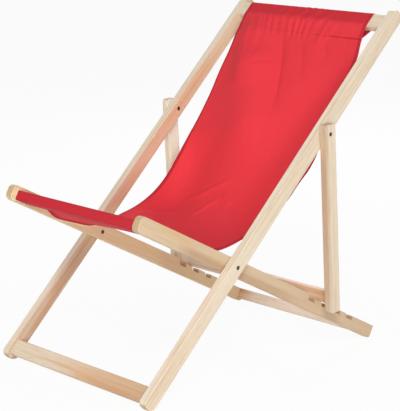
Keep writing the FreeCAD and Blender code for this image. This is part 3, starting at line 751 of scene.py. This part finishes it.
def sling_relief(sling, x, run, places):
    """How far the canvas stands out of its middle line, in metres, with its folds, sag and hems."""
    half = sling.width / 2
    below, from_bend, behind = run - places["seam"], run - places["bend"], places["arrive"] - run
    relief = gathered_hem(sling, x, run, places)
    relief -= SEAM_DENT * ridge(below, 0, SEAM_WIDE)
    for line in WRINKLES:
        relief += along_line(x, below, *line)
    for line in VALLEYS:
        relief += sling.fold * along_line(x, below, *line, sharp=True)
    for line in SWELLS:
        relief += sling.slack * along_line(x, below, *line, fade=0.35)
    for line in CREASES:
        relief += sling.crease * along_line(x, from_bend, *line)
    panel = ease(below, *PANEL_BEGINS) * ease(behind, *PANEL_ENDS)
    # Lower down, both edges are drawn up towards their rails, and the sling twists a little at its bend.
    left = np.clip((-x - LEFT_FROM) / (half - LEFT_FROM), 0, 1) ** 2
    relief += sling.left_rise * stretch(below, *LEFT_RISES) * left
    right = np.clip((x - RIGHT_FROM) / (half - RIGHT_FROM), 0, 1) ** 2
    relief += sling.right_rise * stretch(below, *RIGHT_RISES) * right
    relief -= sling.twist * (x / half) * ridge(from_bend, TWIST_AT, TWIST_WIDE)
    # Behind the front crossbar the left edge hangs slack, and the middle of the seat sags.
    relief -= sling.left_slack * stretch(behind, *LEFT_HANGS) * np.clip(-x / half, 0, 1) ** 2
    dish = ridge(from_bend, DISH_AT, DISH_WIDE) * panel
    relief -= sling.dish * dish * (DISH_BELOW - (x / half) ** 2)
    # The side hems are a second layer, and both edges roll back a little.
    side = half - np.abs(x)
    hem = 1 - ease(side, sling.side_hem - 1 * MM, sling.side_hem + 1.5 * MM)
    relief += 0.5 * sling.thickness * hem * panel
    relief -= EDGE_ROLL * panel * (1 - ease(side, 0, EDGE_WIDE)) ** 2
    return relief


def sling_shape(sling, x, at, line, run, places):
    """The place and outward direction of points of the canvas, for arrays of places across and along."""
    points, ahead, behind = [
        np.stack([np.interp(at + shift, run, line[:, k]) for k in (0, 1)], -1)
        for shift in (0, 1 * MM, -1 * MM)
    ]
    way = ahead - behind
    way /= np.linalg.norm(way, axis=-1, keepdims=True)
    out = np.stack([way[..., 1], -way[..., 0]], -1)
    points = points + out * sling_relief(sling, x, at, places)[..., None]
    # The gathers draw the top in, and it has slid towards the left rail.
    top = 1 - ease(at - places["seam"], *TOP_ENDS)
    wide = x * (1 - top * sling.draw_in / sling.width) - top * sling.left_shift
    place = np.stack([wide, points[..., 0] + SEAT_PIVOT.y, points[..., 1] + SEAT_PIVOT.z], -1)
    outward = np.stack([np.zeros_like(x), out[..., 0], out[..., 1]], -1)
    return place, outward


# How much of the hem's deeper red, which is painted shade, shows where the canvas lies double round the
# top and front crossbars and at the sides.
TOP_SHADE, FRONT_SHADE, SIDE_SHADE = 0.55, 0.75, 0.8


def hem_shade_shares(sling, x, run, places):
    """The share of the hem's deeper red, painted shade, with soft borders where the canvas becomes a single
    layer.
    """
    leave, arrive = places["leave"], places["arrive"]
    top = TOP_SHADE * (1 - ease(run, leave - 10 * MM, leave + 6 * MM))
    front = FRONT_SHADE * ease(run, arrive - 6 * MM, arrive + 6 * MM)
    sides = SIDE_SHADE * (1 - ease(sling.width / 2 - np.abs(x), sling.side_hem - 3 * MM, sling.side_hem))
    return np.maximum(np.maximum(top, front), sides)


def canvas_material(sling):
    """Woven cotton canvas, dyed red: matt, with a fine cross of threads, slubs along its length and painted
    shade on its doubled hems.
    """
    material, tree, shader = new_material("dyed_cotton_canvas_woven")
    weave = add(tree, "ShaderNodeUVMap", uv_map="weave").outputs["UV"]
    # Canvas threads are about 0.6 mm apart; they are drawn 1.6 mm apart, so that they show.
    scale = WAVE_SPACING / sling.thread_spacing
    warp, weft = [
        add(
            tree, "ShaderNodeTexWave", {"Vector": weave, "Scale": scale, "Distortion": 1.5},
            bands_direction=way,
        ).outputs["Fac"]
        for way in ("X", "Y")
    ]
    cross = add(tree, "ShaderNodeMath", {0: warp, 1: weft}, operation="MAXIMUM").outputs[0]
    slubs = add(
        tree, "ShaderNodeMapping", {"Vector": weave, "Scale": (1 / (3 * MM), 1 / (60 * MM), 1)}
    ).outputs[0]
    slubs = add(tree, "ShaderNodeTexNoise", {"Vector": slubs, "Scale": 1.0, "Detail": 3.0}).outputs["Fac"]
    doubled = add(tree, "ShaderNodeAttribute", attribute_name="doubled").outputs["Fac"]
    # The doubled hems are painted a deeper red as shade: light comes through the single layer and not
    # through them.
    colour = add(
        tree, "ShaderNodeMix", {SHARE: doubled, FROM: sling.canvas, TO: sling.hem}, data_type="RGBA"
    ).outputs[MIXED]
    shade = add(
        tree, "ShaderNodeMapRange",
        {"Value": slubs, "From Min": 0.3, "From Max": 0.7, "To Min": 0.96, "To Max": 1.03},
    ).outputs["Result"]
    colour = add(
        tree, "ShaderNodeMix", {SHARE: 1.0, FROM: colour, TO: shade}, data_type="RGBA", blend_type="MULTIPLY"
    ).outputs[MIXED]
    tree.links.new(colour, shader.inputs["Base Color"])
    bump = add(tree, "ShaderNodeBump", {"Height": cross, "Strength": 0.25, "Distance": 0.25 * MM}).outputs[0]
    tree.links.new(bump, shader.inputs["Normal"])
    shader.inputs["Roughness"].default_value = 0.62
    shader.inputs["IOR"].default_value = 1.5
    shader.inputs["Specular IOR Level"].default_value = 0.12
    return material


def thread_material(sling):
    """Polyester sewing thread, twisted: dark red, with a slight gloss on each raised stitch."""
    material, tree, shader = new_material("polyester_thread_twisted")
    place = add(tree, "ShaderNodeTexCoord").outputs["Object"]
    # The twist is under 0.5 mm; it is drawn at 0.8 mm.
    scale = WAVE_SPACING / (0.8 * MM)
    twist = add(
        tree, "ShaderNodeTexWave", {"Vector": place, "Scale": scale}, bands_direction="DIAGONAL"
    ).outputs["Fac"]
    stops = [(0.2, sling.thread), (0.8, linear("#B82A35"))]
    colour = add(tree, "ShaderNodeValToRGB", {"Fac": twist}, stops).outputs["Color"]
    tree.links.new(colour, shader.inputs["Base Color"])
    shader.inputs["Roughness"].default_value = 0.55
    return material


def new_piece(name, mesh, material):
    """An object of a finished mesh, smooth, with its material."""
    piece = bpy.data.objects.new(name, mesh)
    bpy.context.scene.collection.objects.link(piece)
    mesh.materials.append(material)
    mesh.polygons.foreach_set("use_smooth", [True] * len(mesh.polygons))
    return piece


def bend_with_seat(piece):
    """Bakes a piece's place into its mesh."""
    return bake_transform(piece)


# A row of stitches stops this far short at both ends, has a stitch every 1.25 stitch lengths, and down a
# side hem it runs this far from the hem's inner edge.
ROW_SHORT, STITCH_PITCH, HEM_INSET = 6 * MM, 1.25, 2 * MM
# A stitch lies this share of the canvas's thickness above its middle. It rises from the canvas and dives
# in again: share of its length, then size and lift in thread radii.
STITCH_LIFT = 0.6
THREAD_RADIUS = 0.45 * MM
STITCH = ((0, 0.35, -0.6), (0.2, 0.9, 0.3), (0.5, 1.0, 0.6), (0.8, 0.9, 0.3), (1, 0.35, -0.6))


def raise_stitch(mesh, start, end, up):
    """Adds one stitch of round thread to a mesh, from place to place."""
    side = (end - start).normalized().cross(up).normalized()
    rings = []
    for share, size, lift in STITCH:
        middle = start.lerp(end, share) + up * THREAD_RADIUS * lift
        rings.append([mesh.verts.new(middle + way * THREAD_RADIUS * size) for way in (side, up, -side, -up)])
    for ring, following in zip(rings, rings[1:]):
        for k in range(4):
            mesh.faces.new((ring[k], ring[(k + 1) % 4], following[(k + 1) % 4], following[k]))
    mesh.faces.new(rings[0][::-1])
    mesh.faces.new(rings[-1])


def sew_seams(sling, line, run, places):
    """Rows of raised stitches: across both tunnel hems and down both side hems."""
    half, pitch = sling.width / 2, STITCH_PITCH * sling.stitch
    rows = []
    for at in (places["seam"], places["tuck"]):
        xs = np.arange(-half + ROW_SHORT, half - ROW_SHORT, pitch)
        rows.append((xs, np.full_like(xs, at), xs + sling.stitch, np.full_like(xs, at)))
    for side in (-1, 1):
        runs = np.arange(places["seam"] + ROW_SHORT, places["tuck"] - ROW_SHORT, pitch)
        xs = np.full_like(runs, side * (half - sling.side_hem + HEM_INSET))
        rows.append((xs, runs, xs, runs + sling.stitch))
    mesh = bmesh.new()
    for x0, r0, x1, r1 in rows:
        starts, outs = sling_shape(sling, x0, r0, line, run, places)
        ends, _ = sling_shape(sling, x1, r1, line, run, places)
        for start, end, out in zip(starts, ends, outs):
            lift = Vector(out) * STITCH_LIFT * sling.thickness
            raise_stitch(mesh, Vector(start) + lift, Vector(end) + lift, Vector(out))
    bmesh.ops.recalc_face_normals(mesh, faces=mesh.faces)
    seams = bpy.data.meshes.new("sling_seams")
    mesh.to_mesh(seams)
    mesh.free()
    return new_piece("sling_seams", seams, thread_material(sling))


class CHAIR_OT_sew_sling(bpy.types.Operator):
    """Sews the canvas sling round the top and front crossbars, with its gathers and folds"""

    bl_idname = "chair.sew_sling"
    bl_label = "Sew Sling"

    def execute(self, context):
        sling = context.scene.chair_sling
        line, run, places = sling_run(sling)
        x, at = np.meshgrid(np.linspace(-sling.width / 2, sling.width / 2, COLUMNS), run)
        points, _ = sling_shape(sling, x, at, line, run, places)
        rows, columns = np.meshgrid(np.arange(len(run) - 1), np.arange(COLUMNS - 1), indexing="ij")
        corner = (rows * COLUMNS + columns).reshape(-1)
        faces = np.stack([corner, corner + 1, corner + COLUMNS + 1, corner + COLUMNS], -1)
        mesh = bpy.data.meshes.new("sling")
        mesh.from_pydata(points.reshape(-1, 3).tolist(), [], faces.tolist())
        weave = mesh.uv_layers.new(name="weave")
        flat = np.stack([x, at], -1).reshape(-1, 2)
        weave.data.foreach_set("uv", flat[faces.reshape(-1)].astype(np.float32).reshape(-1))
        # This attribute holds the share of the hems' painted shade.
        doubled = mesh.attributes.new("doubled", "FLOAT", "POINT")
        shares = hem_shade_shares(sling, x, at, places)
        doubled.data.foreach_set("value", shares.reshape(-1).astype(np.float32))
        piece = new_piece("sling", mesh, canvas_material(sling))
        thick = piece.modifiers.new("canvas_thickness", "SOLIDIFY")
        thick.thickness = sling.thickness
        thick.offset = 0.0
        bend_with_seat(piece)
        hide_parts("sling_panel", "sling_top_hem", "sling_front_hem")
        return {"FINISHED"}


class CHAIR_OT_stitch_seams(bpy.types.Operator):
    """Stitches the sling's tunnel hems and side hems"""

    bl_idname = "chair.stitch_seams"
    bl_label = "Stitch Seams"

    def execute(self, context):
        sling = context.scene.chair_sling
        line, run, places = sling_run(sling)
        seams = sew_seams(sling, line, run, places)
        bend_with_seat(seams)
        return {"FINISHED"}


# The floor reaches far past the picture and lies just under the feet. The camera sees it as plain
# backdrop, but for a small share of its own shade, which keeps the chair's shadow.
FLOOR_REACH, FLOOR_DROP, BACKDROP_SHARE = 14.0, 0.5 * MM, 0.94
# Where the lamps look, and each lamp's setting, place and size in metres.
LAMP_AIM = Vector((0, 0, 0.4))
LAMPS = {
    "key": ((3.05, -2.25, 3.2), 1.5),
    "low": ((4.8, -3.6, 0.6), 1.5),
    "fill": ((-0.8, -2.4, 1.3), 1.0),
    "back": ((-1.8, 2.6, 2.0), 1.0),
}
# Width of the camera's sensor in millimetres, and how far it sees in metres.
SENSOR_WIDTH, CAMERA_REACH = 36.0, 60.0


def backdrop_rays(tree):
    """1 for rays that show the backdrop, straight, mirrored or let through, and 0 for rays that light."""
    path = add(tree, "ShaderNodeLightPath").outputs
    seen = path["Is Camera Ray"]
    for kind in ("Is Glossy Ray", "Is Transmission Ray"):
        seen = add(tree, "ShaderNodeMath", {0: seen, 1: path[kind]}, operation="MAXIMUM").outputs[0]
    return seen


def paper_material(stage):
    """White backdrop paper, matt: almost white to the camera, with a trace of the chair's soft shadow."""
    material, tree, shader = new_material("matt_white_paper")
    shader.inputs["Base Color"].default_value = linear("#EEEEEE")
    shader.inputs["Roughness"].default_value = 0.95
    share = add(
        tree, "ShaderNodeMath", {0: backdrop_rays(tree), 1: BACKDROP_SHARE}, operation="MULTIPLY"
    ).outputs[0]
    glow = add(tree, "ShaderNodeEmission", {"Color": stage.floor, "Strength": 1.0}).outputs[0]
    mixed = add(tree, "ShaderNodeMixShader", {0: share, 1: shader.outputs[0], 2: glow}).outputs[0]
    tree.links.new(mixed, tree.nodes["Material Output"].inputs["Surface"])
    return material


def lay_floor(stage):
    """One large sheet of paper under the chair."""
    mesh = bmesh.new()
    bmesh.ops.create_grid(mesh, x_segments=1, y_segments=1, size=FLOOR_REACH)
    sheet = bpy.data.meshes.new("studio_floor")
    mesh.to_mesh(sheet)
    mesh.free()
    floor = new_piece("studio_floor", sheet, paper_material(stage))
    floor.location.z = CAD_BOX[0].z - FLOOR_DROP


def light_studio(scene, stage):
    """Even light from all round, white where the camera sees it, and four soft square lamps."""
    scene.world = bpy.data.worlds.new("studio_light")
    scene.world.use_nodes = True
    tree = scene.world.node_tree
    level = add(
        tree, "ShaderNodeMapRange", {"Value": backdrop_rays(tree), "To Min": stage.sky, "To Max": 1.0}
    ).outputs["Result"]
    tree.links.new(level, tree.nodes["Background"].inputs["Strength"])
    tree.nodes["Background"].inputs["Color"].default_value = stage.floor
    for name, (place, size) in LAMPS.items():
        lamp = bpy.data.lights.new(name + "_lamp", "AREA")
        lamp.shape = "SQUARE"
        lamp.size = size
        lamp.energy = getattr(stage, name)
        holder = bpy.data.objects.new(name + "_lamp", lamp)
        scene.collection.objects.link(holder)
        holder.location = place
        holder.visible_camera = False
        holder.rotation_mode = "QUATERNION"
        holder.rotation_quaternion = (LAMP_AIM - Vector(place)).to_track_quat("-Z", "Y")


def place_camera(scene, stage):
    """The camera, in front of the chair and to its right."""
    side, up, roll = stage.camera_turn
    camera = bpy.data.cameras.new("camera")
    camera.lens = stage.lens
    camera.sensor_width = SENSOR_WIDTH
    camera.clip_end = CAMERA_REACH
    eye = bpy.data.objects.new("camera", camera)
    scene.collection.objects.link(eye)
    turn = Matrix.Rotation(side, 4, "Z") @ Matrix.Rotation(math.pi / 2 + up, 4, "X")
    eye.matrix_world = Matrix.Translation(stage.camera_place) @ turn @ Matrix.Rotation(roll, 4, "Z")
    scene.camera = eye


class CHAIR_OT_set_stage(bpy.types.Operator):
    """Sets the pale floor, the studio lamps and the camera"""

    bl_idname = "chair.set_stage"
    bl_label = "Set Stage"

    def execute(self, context):
        scene, stage = context.scene, context.scene.chair_stage
        scene.view_settings.view_transform = "Standard"
        lay_floor(stage)
        light_studio(scene, stage)
        place_camera(scene, stage)
        return {"FINISHED"}


class CHAIR_PT_dress(bpy.types.Panel):
    """The chair's pieces and settings"""

    bl_idname = "CHAIR_PT_dress"
    bl_label = "Lounge Chair"
    bl_space_type = "VIEW_3D"
    bl_region_type = "UI"
    bl_category = "Lounge Chair"

    def draw(self, context):
        for settings, operators in PANEL_ROWS:
            box = self.layout.box()
            group = getattr(context.scene, settings)
            for name in group.bl_rna.properties.keys():
                if name not in ("name", "rna_type"):
                    box.prop(group, name)
            for operator in operators:
                box.operator(operator)


PANEL_ROWS = (
    ("chair_wood", ("chair.finish_frame", "chair.finish_dowels")),
    ("chair_pivots", ("chair.finish_pivots",)),
    ("chair_sling", ("chair.sew_sling", "chair.stitch_seams")),
    ("chair_stage", ("chair.set_stage",)),
)
SETTINGS = {
    "chair_wood": WoodSettings,
    "chair_pivots": PivotSettings,
    "chair_sling": SlingSettings,
    "chair_stage": StageSettings,
}
CLASSES = (
    *SETTINGS.values(), CHAIR_OT_finish_frame, CHAIR_OT_finish_dowels, CHAIR_OT_finish_pivots,
    CHAIR_OT_sew_sling, CHAIR_OT_stitch_seams, CHAIR_OT_set_stage, CHAIR_PT_dress,
)


def register():
    """Adds the chair's settings, operators and panel."""
    for cls in CLASSES:
        bpy.utils.register_class(cls)
    for name, group in SETTINGS.items():
        setattr(bpy.types.Scene, name, PointerProperty(type=group))


def unregister():
    """Takes the chair's settings, operators and panel away."""
    for name in SETTINGS:
        delattr(bpy.types.Scene, name)
    for cls in reversed(CLASSES):
        bpy.utils.unregister_class(cls)


def main():
    """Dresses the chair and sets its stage."""
    register()
    bpy.ops.chair.finish_frame()
    bpy.ops.chair.finish_dowels()
    bpy.ops.chair.finish_pivots()
    bpy.ops.chair.sew_sling()
    bpy.ops.chair.stitch_seams()
    bpy.ops.chair.set_stage()


if __name__ == "__main__":
    main()
